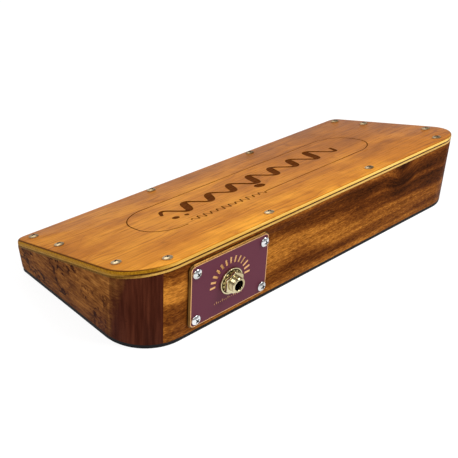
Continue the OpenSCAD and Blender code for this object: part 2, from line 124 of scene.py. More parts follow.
class Graph:
    """A material with a Principled shader and short calls that add nodes to it."""

    def __init__(self, name, **fixed):
        self.material = bpy.data.materials.new(name)
        self.material.use_nodes = True
        self.tree = self.material.node_tree
        self.shader = self.tree.nodes["Principled BSDF"]
        for socket, value in fixed.items():
            self.shader.inputs[socket.replace("_", " ")].default_value = value
        self.place = self.add("ShaderNodeTexCoord").outputs["Object"]

    def add(self, kind, **props):
        node = self.tree.nodes.new(kind)
        for key, value in props.items():
            setattr(node, key, value)
        return node

    def put(self, socket, value):
        """Links an output to a socket, or sets the socket's own value."""
        if isinstance(value, bpy.types.NodeSocket):
            self.tree.links.new(value, socket)
        else:
            socket.default_value = value

    def math(self, operation, a, b=0.0):
        node = self.add("ShaderNodeMath", operation=operation)
        self.put(node.inputs[0], a)
        self.put(node.inputs[1], b)
        return node.outputs[0]

    def less(self, tone, pattern, weight):
        """A tone lowered by a weighted pattern."""
        return self.math("SUBTRACT", tone, self.math("MULTIPLY", pattern, weight))

    def axes(self, vector):
        """The X, Y and Z of a vector."""
        node = self.add("ShaderNodeSeparateXYZ")
        self.put(node.inputs[0], vector)
        return node.outputs

    def facing(self):
        """The X, Y and Z of the surface's own direction."""
        return self.axes(self.add("ShaderNodeNewGeometry").outputs["Normal"])

    def scaled(self, factors, shift=(0, 0, 0)):
        """The object coordinates, scaled by a factor per axis and shifted."""
        node = self.add("ShaderNodeMapping")
        self.put(node.inputs["Vector"], self.place)
        node.inputs["Scale"].default_value = factors
        node.inputs["Location"].default_value = shift
        return node.outputs[0]

    def warped(self, vector, by, amount):
        """A vector pushed about by a noise colour."""
        centred = self.add("ShaderNodeVectorMath", operation="SUBTRACT")
        self.put(centred.inputs[0], by)
        centred.inputs[1].default_value = (0.5, 0.5, 0.5)
        node = self.add("ShaderNodeVectorMath", operation="MULTIPLY_ADD")
        self.put(node.inputs[0], centred.outputs[0])
        node.inputs[1].default_value = (amount, amount, amount)
        self.put(node.inputs[2], vector)
        return node.outputs[0]

    def noise(self, vector, detail, rough, output="Fac"):
        """Noise whose size comes from the vector's own scale."""
        node = self.add("ShaderNodeTexNoise")
        self.put(node.inputs["Vector"], vector)
        node.inputs["Scale"].default_value = 1.0
        node.inputs["Detail"].default_value = detail
        node.inputs["Roughness"].default_value = rough
        return node.outputs[output]

    def ramp(self, value, *stops):
        """Colour ramp; a stop is (position, grey) or (position, colour)."""
        node = self.add("ShaderNodeValToRGB")
        self.put(node.inputs[0], value)
        elements = node.color_ramp.elements
        while len(elements) < len(stops):
            elements.new(0.5)
        for element, (position, value_at) in zip(elements, stops):
            element.position = position
            is_colour = hasattr(value_at, "__len__")
            element.color = value_at if is_colour else (value_at, value_at, value_at, 1)
        return node.outputs[0]

    def mix(self, factor, a, b):
        node = self.add("ShaderNodeMix", data_type="RGBA")
        self.put(node.inputs["Factor"], factor)
        self.put(node.inputs["A"], a)
        self.put(node.inputs["B"], b)
        return node.outputs["Result"]

    def colour(self, value):
        self.put(self.shader.inputs["Base Color"], value)

    def rough(self, value):
        self.put(self.shader.inputs["Roughness"], value)

    def bump(self, height, distance, strength):
        node = self.add("ShaderNodeBump")
        node.inputs["Strength"].default_value = strength
        node.inputs["Distance"].default_value = distance
        self.put(node.inputs["Height"], height)
        self.put(self.shader.inputs["Normal"], node.outputs[0])


def along(axis, slow, fast):
    """Scale factors with a slow pattern along one axis and a fast one across it."""
    return tuple(slow if a == axis else fast for a in "XYZ")


# ---------- woods ----------

# Amber oil finish: it takes the blue out of the reflections
OIL = dict(Specular_Tint=(1.0, 0.70, 0.38, 1.0))


def mixed_tone(g, parts, middle=0.5):
    """Sum of patterns about a middle, each centred on zero and given its own weight."""
    tone = middle
    for pattern, weight in parts:
        tone = g.math("ADD", g.math("MULTIPLY", g.math("SUBTRACT", pattern, 0.5), weight), tone)
    return tone


def pores_over(g, base, axis, speeds, shift, start, colour, strength, gloss):
    """Short dark dashes along the grain, which also roughen the surface and sink into it."""
    pore = g.noise(g.scaled(along(axis, *speeds), shift), 2.0, 0.5)
    mask = g.ramp(pore, (start, 0.0), (start + 0.12, 1.0))
    g.colour(g.mix(g.math("MULTIPLY", mask, strength), base, colour))
    g.rough(g.math("ADD", gloss, g.math("MULTIPLY", mask, 0.25)))
    fibre = g.noise(g.scaled(along(axis, 30, 1500), shift), 3.0, 0.6)
    g.bump(g.math("SUBTRACT", fibre, mask), 0.00004, 0.6)


def wood(name, tones, pore, seed, gloss):
    """Plain board with stretched grain along the box."""
    g = Graph(name, Specular_IOR_Level=0.03, **OIL)
    shift = (seed, seed * 1.7, seed * 0.6)
    wide = g.noise(g.scaled((5, 60, 60), shift), 3.0, 0.55)
    streak = g.noise(g.scaled((20, 700, 700), shift), 4.0, 0.6)
    tone = mixed_tone(g, ((wide, 0.9), (streak, 0.6)))
    base = g.ramp(tone, (0.25, tones[0]), (0.5, tones[1]), (0.75, tones[2]))
    pores_over(g, base, "X", (120, 2000), shift, 0.58, pore, strength=0.4, gloss=gloss)
    return g


def cherry_face():
    """Cherry veneer: warm, cloudy, with thin contour lines that run along the box."""
    g = Graph("cherry_face", Specular_IOR_Level=0.04, **OIL)
    shift = (0.31, 0.42, 0.0)
    drift = g.noise(g.scaled((9, 16, 16), shift), 2.0, 0.5, "Color")
    flow = g.warped(g.scaled((4.2, 27, 27), shift), drift, 1.3)
    wide = g.noise(flow, 2.0, 0.45)
    rings = g.math("PINGPONG", g.math("MULTIPLY", wide, 12.0), 0.5)
    lines = g.ramp(rings, (0.0, 1.0), (0.06, 0.5), (0.15, 0.0))
    gate = g.noise(g.scaled((11, 30, 30), shift), 1.0, 0.5)
    lines = g.math("MULTIPLY", lines, g.ramp(gate, (0.42, 0.15), (0.58, 1.0)))
    streak = g.noise(g.scaled((13, 620, 620), shift), 3.0, 0.6)
    hair = g.noise(g.scaled((34, 820, 820), (3, 1, 2)), 2.0, 0.5)
    cloud = g.noise(g.scaled((26, 42, 42), shift), 3.0, 0.55)
    curl = g.noise(g.scaled((150, 60, 60), shift), 2.0, 0.5)
    parts = ((wide, 0.62), (streak, 0.42), (cloud, 0.80), (curl, 0.16))
    tone = g.less(mixed_tone(g, parts, 0.53), lines, 0.22)
    tone = g.less(tone, g.ramp(hair, (0.56, 0.0), (0.66, 1.0)), 0.20)
    # Painted shade: darker towards the far end and the heel, and a little towards both ends
    at = g.axes(g.place)
    tone = g.less(g.less(tone, at["X"], 1.1), at["Y"], 2.6)
    tone = g.less(tone, g.math("MULTIPLY", at["X"], at["X"]), 4.0)
    base = g.ramp(
        tone, (0.15, rgb(148, 86, 38)), (0.50, rgb(198, 122, 42)), (0.85, rgb(240, 164, 56))
    )
    # Painted shade: darker along the rounded edge where it turns down from the face, and darkest on
    # the face's two ends
    rim = g.ramp(g.facing()["Z"], (0.90, 0.5), (0.975, 0.0))
    base = g.mix(rim, base, rgb(124, 72, 12))
    base = g.mix(g.math("MULTIPLY", end_mask(g), 0.9), base, rgb(78, 42, 12))
    pores_over(g, base, "X", (90, 1700), shift, 0.60, rgb(132, 70, 24), strength=0.5, gloss=0.36)
    return g


def end_mask(g, start=0.10, full=0.50):
    """1 where the surface faces along the box: end grain of boards, and painted shade on the face's
    ends.
    """
    return g.ramp(g.math("ABSOLUTE", g.facing()["X"]), (start, 0.0), (full, 1.0))


# A grain swirl near the top edge of the toe side: its middle and its reach
SWIRL_AT = (0.075, -HALF_W, 0.041)
SWIRL_REACH = 17 * MM


def side_wood():
    """Toe side: golden and dark brown bands, with a swirl where they bend round a knot."""
    g = Graph("side_wood", Specular_IOR_Level=0.008, **OIL)
    away = g.add("ShaderNodeVectorMath", operation="DISTANCE")
    g.put(away.inputs[0], g.place)
    away.inputs[1].default_value = SWIRL_AT
    near = g.ramp(g.math("DIVIDE", away.outputs["Value"], SWIRL_REACH), (0.0, 1.0), (1.0, 0.0))
    lift = g.add("ShaderNodeCombineXYZ")
    g.put(lift.inputs["Z"], g.math("MULTIPLY", near, 8 * MM))
    g.put(lift.inputs["X"], g.math("MULTIPLY", near, 6 * MM))
    bent = g.add("ShaderNodeVectorMath", operation="ADD")
    g.put(bent.inputs[0], g.place)
    g.put(bent.inputs[1], lift.outputs[0])
    g.place = bent.outputs[0]
    shift = (2.6, 0.0, 1.35)
    drift = g.noise(g.scaled((10, 24, 24), shift), 2.0, 0.5, "Color")
    flow = g.warped(g.scaled((3.6, 70, 70), shift), drift, 0.9)
    wide = g.noise(flow, 2.0, 0.5)
    band = g.ramp(wide, (0.38, 0.0), (0.60, 1.0))
    streak = g.noise(g.scaled((20, 420, 420), shift), 3.0, 0.6)
    speckle = g.noise(g.scaled((330, 1250, 1250), shift), 3.0, 0.65)
    cloud = g.noise(g.scaled((30, 120, 120), shift), 3.0, 0.6)
    parts = ((band, 0.38), (streak, 0.46), (speckle, 0.85), (cloud, 0.40))
    at = g.axes(g.place)
    tone = g.less(g.less(mixed_tone(g, parts, 0.54), at["X"], 1.2), at["Z"], 1.2)
    tone = g.less(tone, near, 0.34)
    base = g.ramp(
        tone,
        (0.10, rgb(46, 20, 6)),
        (0.40, rgb(95, 48, 15)),
        (0.62, rgb(138, 79, 27)),
        (0.90, rgb(206, 133, 50)),
    )
    pores_over(g, base, "X", (150, 1500), shift, 0.58, rgb(48, 24, 8), strength=0.5, gloss=0.42)
    return g


def end_wood():
    """End boards: figured with dark veins and blotches; dark red end grain at the corners."""
    g = Graph("end_wood", Specular_IOR_Level=0.008, **OIL)
    shift = (0.0, 5.3, 2.2)
    drift = g.noise(g.scaled((60, 60, 60), shift), 3.0, 0.6, "Color")
    flow = g.warped(g.scaled((34, 26, 46), shift), drift, 1.6)
    wide = g.noise(flow, 3.0, 0.55)
    rings = g.math("PINGPONG", g.math("MULTIPLY", wide, 5.0), 0.5)
    veins = g.ramp(rings, (0.0, 1.0), (0.08, 0.75), (0.15, 0.0))
    gate = g.noise(g.scaled((40, 40, 40), (3, 1, 2)), 2.0, 0.5)
    veins = g.math("MULTIPLY", veins, g.ramp(gate, (0.44, 0.0), (0.56, 1.0)))
    blot = g.noise(g.scaled((95, 70, 120), shift), 4.0, 0.65)
    streak = g.noise(g.scaled((700, 34, 700), shift), 3.0, 0.6)
    dash = g.noise(g.scaled((760, 120, 760), shift), 4.0, 0.7)
    parts = ((wide, 0.20), (streak, 0.30), (blot, 0.75), (dash, 1.15))
    tone = g.less(mixed_tone(g, parts, 0.56), veins, 0.46)
    tone = g.less(tone, g.axes(g.place)["Y"], 1.5)
    base = g.ramp(
        tone,
        (0.12, rgb(48, 22, 12)),
        (0.45, rgb(101, 57, 25)),
        (0.70, rgb(144, 90, 41)),
        (0.92, rgb(182, 124, 62)),
    )
    grain = g.noise(g.scaled((520, 160, 26), shift), 3.0, 0.6)
    ends = g.ramp(grain, (0.28, rgb(50, 19, 11)), (0.50, rgb(69, 31, 20)), (0.75, rgb(92, 46, 30)))
    toe_ward = g.math("MULTIPLY", g.facing()["Y"], -1.0)
    base = g.mix(g.ramp(toe_ward, (0.0, 0.0), (0.06, 0.5), (0.22, 1.0)), base, ends)
    pores_over(g, base, "Y", (170, 1500), shift, 0.60, rgb(46, 22, 12), strength=0.45, gloss=0.42)
    return g


def ply(name, seed, tones, ends, *mask):
    """Light ply with grain along the box: gold along its sides, darker where the grain ends."""
    g = wood(name, tones, rgb(160, 100, 34), seed, 0.34)
    sides = g.shader.inputs["Base Color"].links[0].from_socket
    fleck = g.noise(g.scaled((900, 900, 900)), 2.0, 0.6)
    dark, light = ends
    cut_ends = g.ramp(fleck, (0.35, dark), (0.65, light))
    g.colour(g.mix(end_mask(g, *mask), sides, cut_ends))
    return g


def light_ply():
    tones = (rgb(212, 158, 66), rgb(242, 196, 98), rgb(255, 222, 138))
    return ply("light_ply", 7.7, tones, (rgb(142, 96, 18), rgb(180, 128, 28)))


def pale_ply():
    tones = (rgb(184, 134, 58), rgb(212, 166, 82), rgb(232, 194, 114))
    return ply("pale_ply", 9.1, tones, (rgb(92, 60, 16), rgb(122, 84, 26)), 0.55, 0.92)


def dark_ply():
    """Cross ply: dark end grain along the box's sides, light at its two ends."""
    g = Graph("dark_ply", Specular_IOR_Level=0.06, **OIL)
    fibre = g.noise(g.scaled((900, 60, 900)), 3.0, 0.6)
    dark = g.ramp(fibre, (0.3, rgb(58, 32, 8)), (0.7, rgb(104, 64, 20)))
    light = g.ramp(fibre, (0.3, rgb(146, 104, 34)), (0.7, rgb(176, 130, 48)))
    g.colour(g.mix(end_mask(g, 0.80, 0.97), dark, light))
    g.rough(g.ramp(fibre, (0.3, 0.6), (0.7, 0.42)))
    g.bump(fibre, 0.00005, 0.6)
    return g


def burnt_wood():
    g = Graph("burnt_wood", Specular_IOR_Level=0.008, **OIL)
    char = g.noise(g.scaled((160, 900, 900)), 4.0, 0.6)
    g.colour(g.ramp(char, (0.30, rgb(74, 32, 4)), (0.72, rgb(114, 60, 14))))
    g.rough(g.ramp(char, (0.3, 0.72), (0.7, 0.5)))
    g.bump(char, 0.00008, 0.8)
    return g


# ---------- metals, rubber and the other materials ----------


def metal(name, colour, stain, rough_low, rough_high, brushed=(300, 300, 300)):
    g = Graph(name, Metallic=1.0)
    scratch = g.noise(g.scaled(brushed), 4.0, 0.65)
    cloud = g.noise(g.scaled((70, 70, 70)), 3.0, 0.5)
    g.colour(g.mix(g.ramp(cloud, (0.45, 0.0), (0.75, 1.0)), colour, stain))
    g.rough(g.ramp(scratch, (0.3, rough_low), (0.7, rough_high)))
    g.bump(scratch, 0.00001, 0.35)
    return g


def plate_brass():
    """Dull brass plate, pale in the engraved rays and ticks, with a painted highlight on the land
    round the lacquer.
    """
    g = metal("plate_brass", rgb(112, 80, 38), rgb(84, 56, 26), 0.34, 0.50, (900, 900, 60))
    low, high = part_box("plate_lacquer")
    at = g.axes(g.place)
    outside = []
    for k in (0, 2):
        middle, reach = (low[k] + high[k]) / 2, (high[k] - low[k]) / 2
        away = g.math("ABSOLUTE", g.math("SUBTRACT", at[k], middle))
        outside.append(g.math("SUBTRACT", away, reach))
    # Pale where brass shows in the engraved rays and ticks, and a painted highlight on the 0.5 mm
    # land round the lacquer
    near = g.math("LESS_THAN", g.math("MAXIMUM", *outside), 0.5 * MM)
    outer = g.math("LESS_THAN", at["Y"], high.y + 0.02 * MM)
    dull = g.shader.inputs["Base Color"].links[0].from_socket
    g.colour(g.mix(g.math("MULTIPLY", near, outer), dull, rgb(236, 184, 126)))
    return g


def jack_nickel():
    """Warm bright nickel, with painted shade in the dish of the washers."""
    g = metal("jack_nickel", rgb(212, 200, 162), rgb(160, 142, 94), 0.06, 0.14)
    lo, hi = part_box("cupped_washer")
    at = g.axes(g.place)
    across = g.math("SUBTRACT", at["X"], (lo.x + hi.x) / 2)
    up = g.math("SUBTRACT", at["Z"], (lo.z + hi.z) / 2)
    squares = g.math("ADD", g.math("MULTIPLY", across, across), g.math("MULTIPLY", up, up))
    dish = g.math("LESS_THAN", g.math("SQRT", squares), (hi.x - lo.x) / 2 - 0.75 * MM)
    low = g.math("GREATER_THAN", at["Y"], lo.y + 0.01 * MM)
    # Painted shade in the washers' dish, in patches
    dish_shade_patches = g.ramp(g.noise(g.scaled((500, 500, 500)), 3.0, 0.6), (0.35, 0.55), (0.65, 0.95))
    mask = g.math("MULTIPLY", g.math("MULTIPLY", dish, low), dish_shade_patches)
    bright = g.shader.inputs["Base Color"].links[0].from_socket
    g.colour(g.mix(mask, bright, rgb(58, 46, 26)))
    return g


def plastic(name, colour, speck, rough, grain=900, level=0.4):
    g = Graph(name, Specular_IOR_Level=level)
    spot = g.noise(g.scaled((grain, grain, grain)), 3.0, 0.6)
    g.colour(g.ramp(spot, (0.35, colour), (0.75, speck)))
    g.rough(g.ramp(spot, (0.3, rough), (0.7, rough + 0.12)))
    g.bump(spot, 0.00002, 0.4)
    return g


def rubber():
    g = plastic("mat_rubber", rgb(12, 12, 13), rgb(26, 25, 26), 0.62, 1400, 0.15)
    dust = g.noise(g.scaled((60, 60, 60)), 4.0, 0.6)
    old = g.shader.inputs["Base Color"].links[0].from_socket
    g.colour(g.mix(g.ramp(dust, (0.55, 0.0), (0.85, 0.3)), old, rgb(44, 42, 40)))
    return g


def foam():
    g = Graph("black_foam", Specular_IOR_Level=0.2)
    cells = g.add("ShaderNodeTexVoronoi")
    g.put(cells.inputs["Vector"], g.place)
    cells.inputs["Scale"].default_value = 1800
    g.colour(g.ramp(cells.outputs["Distance"], (0.0, rgb(18, 18, 19)), (0.7, rgb(52, 52, 54))))
    g.rough(g.ramp(cells.outputs["Distance"], (0.0, 0.95), (0.7, 0.8)))
    g.bump(cells.outputs["Distance"], 0.0002, 0.8)
    return g


BEECH = (rgb(176, 128, 78), rgb(206, 158, 104), rgb(228, 186, 132))
BIRCH = (rgb(190, 154, 104), rgb(216, 184, 136), rgb(234, 208, 166))
STEEL = rgb(238, 240, 242)
ZINC = rgb(206, 186, 148)
PLUM = rgb(93, 40, 56)
CERAMIC = rgb(206, 202, 190)

SLOT_MATERIALS = {
    "cherry_face": cherry_face,
    "light_ply": light_ply,
    "pale_ply": pale_ply,
    "dark_ply": dark_ply,
    "side_wood": side_wood,
    "end_wood": end_wood,
    "birch_ply": lambda: wood("birch_ply", BIRCH, BIRCH[0], 3.3, 0.5),
    "rack_beech": lambda: wood("rack_beech", BEECH, BEECH[0], 4.4, 0.5),
    "mat_rubber": rubber,
    "screw_steel": lambda: metal("screw_steel", STEEL, rgb(178, 176, 172), 0.12, 0.26),
    "screw_zinc": lambda: metal("screw_zinc", ZINC, rgb(140, 112, 74), 0.3, 0.46),
    # Painted shade: dark grey inside the screws' cross recesses
    "recess_shade": lambda: metal("recess_shade", rgb(70, 64, 58), rgb(44, 40, 36), 0.4, 0.6),
    "plate_brass": plate_brass,
    "plum_lacquer": lambda: plastic("plum_lacquer", PLUM, rgb(102, 48, 64), 0.45, 2400, 0.12),
    "jack_nickel": jack_nickel,
    "phenolic": lambda: plastic("phenolic", rgb(96, 58, 30), rgb(132, 84, 46), 0.5),
    "spring_alloy": lambda: metal("spring_alloy", rgb(206, 186, 140), rgb(168, 140, 92), 0.2, 0.34),
    "sensor_brass": lambda: metal("sensor_brass", rgb(208, 168, 92), rgb(180, 134, 66), 0.22, 0.4),
    "sensor_ceramic": lambda: plastic("sensor_ceramic", CERAMIC, rgb(184, 180, 166), 0.4),
    "black_foam": foam,
    "red_insulation": lambda: plastic("red_insulation", rgb(158, 26, 20), rgb(176, 40, 30), 0.42),
    "black_insulation": lambda: plastic("black_insulation", rgb(22, 22, 22), rgb(34, 34, 34), 0.42),
    "solder": lambda: metal("solder", rgb(186, 186, 184), rgb(150, 150, 148), 0.3, 0.5),
    "nylon": lambda: plastic("nylon", rgb(222, 218, 204), rgb(208, 203, 188), 0.45),
    "pin_steel": lambda: metal("pin_steel", rgb(176, 176, 176), rgb(140, 138, 134), 0.2, 0.32),
    "jingle_brass": lambda: metal("jingle_brass", rgb(216, 172, 82), rgb(182, 132, 56), 0.18, 0.36),
}
materials = {}


def material(slot):
    if slot not in materials:
        materials[slot] = SLOT_MATERIALS[slot]().material
    return materials[slot]


# ---------- mesh helpers ----------

# Corners of a square, counter-clockwise
CORNERS = ((-1, -1), (1, -1), (1, 1), (-1, 1))


def new_piece(name, bm, slots, smooth=None):
    """A piece from a bmesh, with one material per slot name or material."""
    mesh = bpy.data.meshes.new(name)
    bmesh.ops.recalc_face_normals(bm, faces=bm.faces)
    bm.to_mesh(mesh)
    bm.free()
    piece = bpy.data.objects.new(name, mesh)
    scene.collection.objects.link(piece)
    for slot in slots:
        mesh.materials.append(material(slot) if isinstance(slot, str) else slot)
    if smooth is not None:
        mesh.shade_smooth()
        mesh.set_sharp_from_angle(angle=math.radians(smooth))
    return piece


def settle(piece):
    """Applies the piece's modifiers."""
    made = piece.evaluated_get(bpy.context.evaluated_depsgraph_get())
    mesh = bpy.data.meshes.new_from_object(made)
    piece.modifiers.clear()
    piece.data = mesh


def skin(bm, rings, cap=True):
    """Joins rings of equal length into a skin, and caps its ends."""
    rows = [[bm.verts.new(p) for p in ring] for ring in rings]
    count = len(rows[0])
    for upper, lower in zip(rows, rows[1:]):
        for k in range(count):
            n = (k + 1) % count
            bm.faces.new((upper[k], upper[n], lower[n], lower[k]))
    if cap:
        bm.faces.new(rows[0])
        bm.faces.new(reversed(rows[-1]))
    return rows


def plan_outline(inset, toe_steps=20, heel_y=HALF_W):
    """Plan of the case as points, counter-clockwise, moved inwards by the inset."""
    heel_steps = 8
    corners = (
        (-HALF_L + TOE_R, -HALF_W + TOE_R, TOE_R, 180, toe_steps),
        (HALF_L - TOE_R, -HALF_W + TOE_R, TOE_R, 270, toe_steps),
        (HALF_L - HEEL_R, heel_y - HEEL_R, HEEL_R, 0, heel_steps),
        (-HALF_L + HEEL_R, heel_y - HEEL_R, HEEL_R, 90, heel_steps),
    )
    points = []
    for x, y, r, start, steps in corners:
        for k in range(steps + 1):
            a = math.radians(start + 90 * k / steps)
            points.append((x + (r - inset) * math.cos(a), y + (r - inset) * math.sin(a)))
    return points


# Rounding of the top board's upper edge
EDGE_R = 1.6 * MM


def edge_inset(depth):
    """How far the rounded top edge stands in at a depth."""
    if depth >= EDGE_R:
        return 0.0
    return EDGE_R - math.sqrt(EDGE_R**2 - (EDGE_R - depth) ** 2)


# ---------- burnt ornament in the face ----------

BURN_DEPTH = 0.3 * MM


def stroke(path, widths):
    """Left and right edges of a line on the plan."""
    left, right = [], []
    for i, (x, y) in enumerate(path):
        x0, y0 = path[max(i - 1, 0)]
        x1, y1 = path[min(i + 1, len(path) - 1)]
        half = widths[i] / 2 / math.hypot(x1 - x0, y1 - y0)
        dx, dy = (y0 - y1) * half, (x1 - x0) * half
        left.append((x + dx, y + dy))
        right.append((x - dx, y - dy))
    return left, right


def oval_line():
    """The long oval round the ornament, leaning a little, open at its toe side."""
    x_lo, x_hi, y_lo, y_hi, r = -102.0, 103.0, -22.0, 27.0, 21.5
    gap = (-78.0, -13.0)
    lean = 0.12
    middle = (y_lo + y_hi) / 2
    points = [(gap[1], y_lo)]
    corners = ((x_hi - r, y_lo + r, -90), (x_hi - r, y_hi - r, 0))
    corners += ((x_lo + r, y_hi - r, 90), (x_lo + r, y_lo + r, 180))
    for x, y, start in corners:
        for k in range(13):
            a = math.radians(start + 90 * k / 12)
            points.append((x + r * math.cos(a), y + r * math.sin(a)))
    points.append((gap[0], y_lo))
    return [((x + lean * (y - middle)) * MM, y * MM) for x, y in points]


def ringing_wave():
    """A thick and thin wave that swells towards the right, with its widths."""
    x0, x1, periods, steps = -79, 77, 8, 240
    path, widths = [], []
    for k in range(steps + 1):
        t = k / steps
        phase = 2 * math.pi * periods * t
        swell = 6.2 + 2.8 * t + 1.2 * math.sin(2 * math.pi * 2.5 * t)
        path.append(((x0 + (x1 - x0) * t) * MM, (4.5 + swell * math.sin(phase)) * MM))
        taper = min(1.0, 0.3 + 14 * t, 0.3 + 14 * (1 - t))
        widths.append((3.9 + 1.7 * math.cos(phase)) * taper * MM)
    return path, widths


def small_wave():
    """A thin ripple in the oval's gap."""
    x0, x1, periods, steps = -75, -17, 12, 180
    path, widths = [], []
    for k in range(steps + 1):
        t = k / steps
        phase = 2 * math.pi * periods * t
        swell = 1.7 + 1.3 * math.sin(2 * math.pi * 1.7 * t) ** 2
        path.append(((x0 + (x1 - x0) * t) * MM, (-18.6 - 3.4 * t + swell * math.sin(phase)) * MM))
        widths.append((0.72 + 0.28 * math.cos(phase)) * MM)
    return path, widths


def dot_path(x, y, r):
    """Short line whose widths make it a round dot."""
    turns = [math.pi * (0.04 + 0.92 * k / 12) for k in range(13)]
    path = [(x - r * math.cos(a), y) for a in turns]
    return path, [2 * r * math.sin(a) for a in turns]


def burns():
    """Every burnt line of the ornament, as a path and its widths."""
    oval = oval_line()
    dots = ((-9, -9.8, 3.7), (-77, -6, 2.4), (-70, -8, 1.6))
    lines = [(oval, [0.75 * MM] * len(oval)), ringing_wave(), small_wave()]
    return lines + [dot_path(x * MM, y * MM, r * MM) for x, y, r in dots]


class BurntArea:
    """The triangles that the ornament's lines cover, filed by the squares that they touch."""

    SQUARE = 2 * MM

    def __init__(self):
        self.squares = {}

    def add(self, a, b, c):
        if (b - a).cross(c - a) < 0:
            b, c = c, b
        columns = [math.floor(p.x / self.SQUARE) for p in (a, b, c)]
        rows = [math.floor(p.y / self.SQUARE) for p in (a, b, c)]
        for i in range(min(columns), max(columns) + 1):
            for j in range(min(rows), max(rows) + 1):
                self.squares.setdefault((i, j), []).append((a, b, c))

    def holds(self, p):
        square = (math.floor(p.x / self.SQUARE), math.floor(p.y / self.SQUARE))
        for a, b, c in self.squares.get(square, ()):
            sides = ((a, b), (b, c), (c, a))
            if all((end - start).cross(p - start) >= 0 for start, end in sides):
                return True
        return False


def make_face():
    """Cherry face with the ornament sunk into it: flat, floor and walls from one 2D mesh."""
    rim = plan_outline(edge_inset(0))
    points = [Vector(p) for p in rim]
    edges = [(k, (k + 1) % len(rim)) for k in range(len(rim))]
    inked = BurntArea()
    for path, widths in burns():
        left, right = stroke(path, widths)
        first, count = len(points), len(path)
        points += [Vector(p) for p in left + right]
        edges += [(first, first + count), (first + count - 1, first + 2 * count - 1)]
        for i in range(first, first + count - 1):
            j = i + count
            edges += [(i, i + 1), (j, j + 1)]
            inked.add(points[i], points[j], points[j + 1])
            inked.add(points[i], points[j + 1], points[i + 1])
    flat, _, triangles, sources, _, _ = delaunay_2d_cdt(points, edges, [], 0, 1e-7)

    bm = bmesh.new()
    upper = [bm.verts.new((x, y, top_z(y))) for x, y in flat]
    lower = {}
    walls = {}
    for triangle in triangles:
        if not inked.holds(sum((flat[i] for i in triangle), Vector((0, 0))) / 3):
            bm.faces.new([upper[i] for i in triangle])
            continue
        for i in triangle:
            if i not in lower:
                x, y = flat[i]
                lower[i] = bm.verts.new((x, y, top_z(y, BURN_DEPTH)))
        bm.faces.new([lower[i] for i in triangle]).material_index = 1
        for a, b in zip(triangle, triangle[1:] + triangle[:1]):
            if (b, a) in walls:
                del walls[(b, a)]
            else:
                walls[(a, b)] = True
    for a, b in walls:
        bm.faces.new((lower[a], lower[b], upper[b], upper[a])).material_index = 1

    place = {source: i for i, group in enumerate(sources) for source in group}
    row = [upper[place[k]] for k in range(len(rim))]
    for step in range(1, 7):
        depth = step * VENEER_H / 6
        outline = plan_outline(edge_inset(depth))
        below = [bm.verts.new((x, y, top_z(y, depth))) for x, y in outline]
        for k in range(len(row)):
            n = (k + 1) % len(row)
            bm.faces.new((row[k], row[n], below[n], below[k]))
        row = below
    bm.faces.new(row)
    loose = [v for v in bm.verts if not v.link_faces]
    bmesh.ops.delete(bm, geom=loose, context="VERTS")
    face = new_piece("face_veneer_burnt", bm, ["cherry_face", burnt_wood().material], 30)
    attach(face, CASE)
    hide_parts("face_veneer")


def make_upper_ply():
    """Light ply under the face, whose upper edge carries on the face's rounding."""
    bm = bmesh.new()
    depths = [VENEER_H + k * (EDGE_R - VENEER_H) / 6 for k in range(7)]
    depths.append(VENEER_TOP - DARK_TOP)
    rings = []
    for depth in depths:
        rings.append([(x, y, top_z(y, depth)) for x, y in plan_outline(edge_inset(depth))])
    skin(bm, rings)
    ply = new_piece("upper_ply_rounded", bm, ["light_ply"], 40)
    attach(ply, CASE)
    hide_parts("upper_ply")


# ---------- rubber mat ----------

# Width of the rim round the studs
MAT_RIM = 1.8 * MM


def make_mat():
    """Rubber sheet with a rim, and a field of small square studs that the box stands on."""
    stud_h, stud_w, pitch = 0.7 * MM, 2.1 * MM, 3.0 * MM
    soft = 0.15 * MM
    bm = bmesh.new()
    rings = []
    sides = ((0, MAT_HI.z), (0, soft), (soft, 0), (MAT_RIM - soft, 0), (MAT_RIM, stud_h))
    for inset, z in sides:
        rings.append([(x, y, z) for x, y in plan_outline(inset, 24, MAT_HI.y)])
    skin(bm, rings)
    count_x = int(HALF_L / pitch)
    count_y = int(HALF_W / pitch)
    reach = stud_w / 2
    for i in range(-count_x, count_x + 1):
        for j in range(-count_y, count_y + 1):
            x, y = i * pitch, j * pitch
            if not inside_rim(abs(x) + reach, y - reach, y + reach):
                continue
            stud(bm, x, y, reach, stud_h)
    mat = new_piece("rubber_mat_studded", bm, ["mat_rubber"], 40)
    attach(mat, CASE)
    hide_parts("rubber_mat")


def inside_rim(x, y_low, y_high):
    """Whether a stud's outer corners lie inside the mat's rim."""
    x, y_low, y_high = x + MAT_RIM, y_low - MAT_RIM, y_high + MAT_RIM
    if x > HALF_L or y_low < -HALF_W or y_high > MAT_HI.y:
        return False
    toe_x, toe_y = HALF_L - TOE_R, -HALF_W + TOE_R
    if x > toe_x and y_low < toe_y and math.hypot(x - toe_x, y_low - toe_y) > TOE_R:
        return False
    heel_x, heel_y = HALF_L - HEEL_R, MAT_HI.y - HEEL_R
    return not (x > heel_x and y_high > heel_y and math.hypot(x - heel_x, y_high - heel_y) > HEEL_R)


def stud(bm, x, y, reach, height):
    """Square stud that narrows towards the floor."""
    foot = reach * 0.82
    root = height + 0.1 * MM
    upper = [(x + a * reach, y + b * reach, root) for a, b in CORNERS]
    lower = [(x + a * foot, y + b * foot, 0.0) for a, b in CORNERS]
    skin(bm, [upper, lower])


# ---------- screws ----------


def turned(bm, profile, steps):
    """Solid of revolution about Z from (radius, height) points, from the top centre down."""
    rings = []
    for r, z in profile[1:-1]:
        ring = [
            (r * math.cos(2 * math.pi * k / steps), r * math.sin(2 * math.pi * k / steps), z)
            for k in range(steps)
        ]
        rings.append(ring)
    rows = skin(bm, rings, cap=False)
    for row, (_, z) in ((rows[0], profile[0]), (rows[-1], profile[-1])):
        tip = bm.verts.new((0, 0, z))
        for k in range(steps):
            bm.faces.new((row[k], row[(k + 1) % steps], tip))


